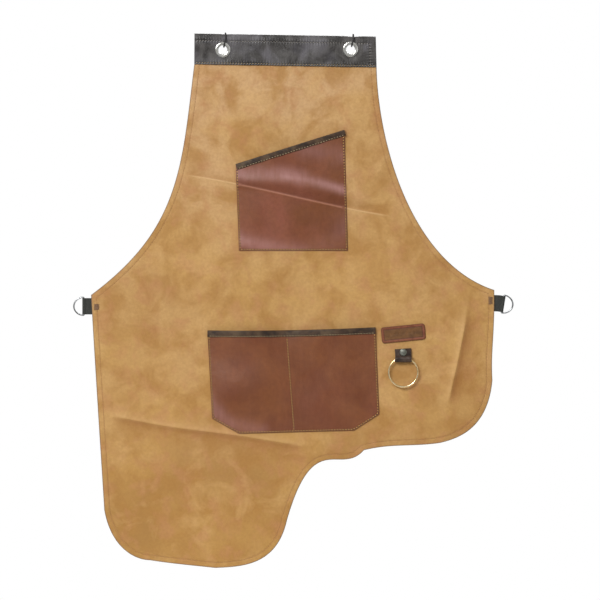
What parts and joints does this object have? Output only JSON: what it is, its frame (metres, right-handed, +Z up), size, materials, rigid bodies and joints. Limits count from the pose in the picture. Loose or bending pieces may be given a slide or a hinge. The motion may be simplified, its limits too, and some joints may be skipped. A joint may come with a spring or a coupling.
{
  "type": "welding apron",
  "caption": "Split-leather bib apron with a dark top band, two eyelets with hanging cords, a slanted chest pocket, a divided lower pocket, side D-rings and a key ring.",
  "frame": {"origin": "halfway between the centres of the two eyelets, in the middle of the body panel's thickness", "axes": "+X to the right seen from the front, -Y out of the front, +Z up"},
  "size_m": [0.6608, 0.0227, 0.8034],
  "materials": {
    "suede": "tan split leather, matt and mottled",
    "band": "dark smooth leather, satin",
    "pocket": "oiled reddish-brown leather, semi-gloss",
    "binding": "dark brown leather, satin",
    "patch": "brown leather, debossed border",
    "tab": "dark brown folded leather strap",
    "nickel": "polished nickel plate",
    "gunmetal": "gunmetal plate, satin",
    "webbing": "black woven webbing",
    "cord": "black waxed cord"
  },
  "bodies": {
    "apron": {"body_panel": "suede", "bib_band": "band", "left_eyelet": "nickel", "left_eyelet_washer": "nickel", "right_eyelet": "nickel", "right_eyelet_washer": "nickel", "left_hanging_cord": "cord", "left_cord_knot": "cord", "right_hanging_cord": "cord", "right_cord_knot": "cord", "chest_pocket": "pocket", "chest_pocket_binding": "binding", "lower_pocket": "pocket", "lower_pocket_binding": "binding", "name_patch": "patch", "left_webbing_end": "webbing", "right_webbing_end": "webbing", "key_rivet": "gunmetal", "key_rivet_base": "gunmetal"},
    "left_loop": {"left_webbing_loop": "webbing"},
    "left_ring": {"left_d_ring": "nickel"},
    "right_loop": {"right_webbing_loop": "webbing"},
    "right_ring": {"right_d_ring": "nickel"},
    "key_hanger": {"key_tab": "tab"},
    "key_hoop": {"key_ring": "nickel"}
  },
  "joints": [
    {"name": "left_webbing_flex", "type": "hinge", "parent": "apron", "child": "left_loop", "pos_m": [-0.2954, 0.0024, -0.385], "axis": [0, 0, 1], "range_deg": [-60, 60]},
    {"name": "left_ring_swing", "type": "hinge", "parent": "left_loop", "child": "left_ring", "pos_m": [-0.304, 0.0024, -0.385], "axis": [0, 0, 1], "range_deg": [-110, 110]},
    {"name": "right_webbing_flex", "type": "hinge", "parent": "apron", "child": "right_loop", "pos_m": [0.3134, 0.0024, -0.3805], "axis": [0, 0, 1], "range_deg": [-60, 60]},
    {"name": "right_ring_swing", "type": "hinge", "parent": "right_loop", "child": "right_ring", "pos_m": [0.32407, 0.0024, -0.38155], "axis": [0.1564, 0, 0.9877], "range_deg": [-110, 110]},
    {"name": "key_tab_swivel", "type": "hinge", "parent": "apron", "child": "key_hanger", "pos_m": [0.1748, -0.0036, -0.4539], "axis": [0, -1, 0], "range_deg": [-40, 40]},
    {"name": "key_ring_swing", "type": "hinge", "parent": "key_hanger", "child": "key_hoop", "pos_m": [0.1748, -0.0059, -0.46425], "axis": [-1, 0, 0], "range_deg": [0, 150]}
  ]
}
